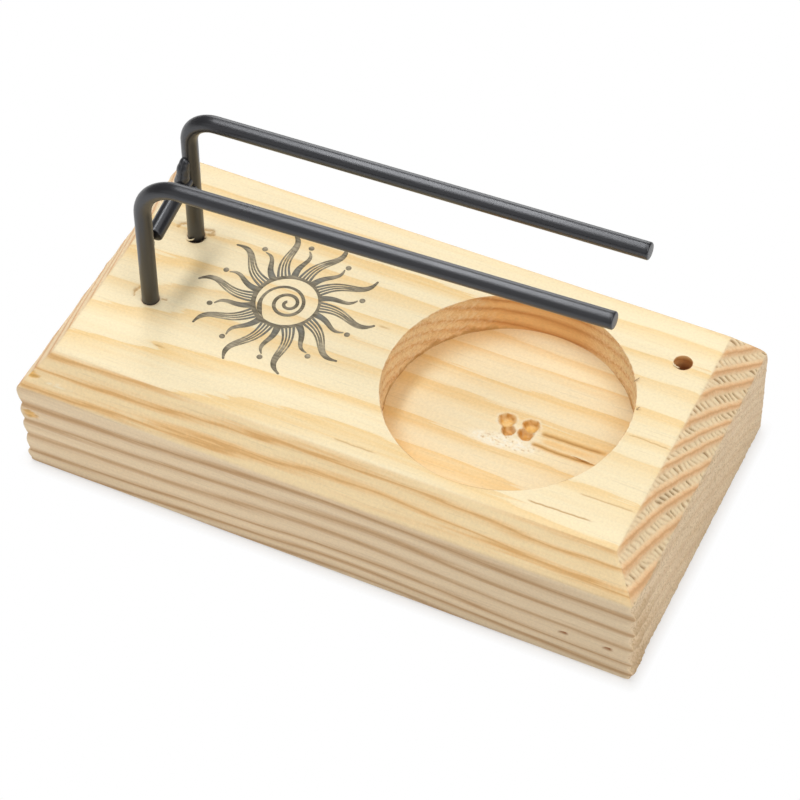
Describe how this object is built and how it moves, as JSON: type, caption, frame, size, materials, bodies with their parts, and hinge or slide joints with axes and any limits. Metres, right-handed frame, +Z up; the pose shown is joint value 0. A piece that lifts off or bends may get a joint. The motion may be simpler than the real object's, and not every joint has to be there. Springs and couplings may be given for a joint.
{
  "type": "palo santo holder",
  "caption": "Bevelled pine block with a round recess and an incense hole, carrying a welded rack of bent rods whose level arms hold a stick over the recess.",
  "frame": {"origin": "middle of the block's underside, which is the bottom centre of the whole part's box", "axes": "+X along the block from the rack's end to the recess's end, +Y to the back, away from the reader of the picture, +Z up"},
  "size_m": [0.16, 0.0842, 0.0861],
  "materials": {
    "pine": "bare planed softwood with strong growth rings, sawn on the sides and ends",
    "black_satin": "satin black paint over bent and welded steel rod"
  },
  "bodies": {
    "block": {"wood_block": "pine"},
    "rack": {"front_rod": "black_satin", "back_rod": "black_satin", "crossbar": "black_satin", "front_outer_weld": "black_satin", "front_inner_weld": "black_satin", "back_outer_weld": "black_satin", "back_inner_weld": "black_satin"}
  },
  "joints": [
    {"name": "rack_lift", "type": "slide", "parent": "block", "child": "rack", "axis": [0.034, 0, 0.9994], "range_m": [0, 0.026]}
  ]
}
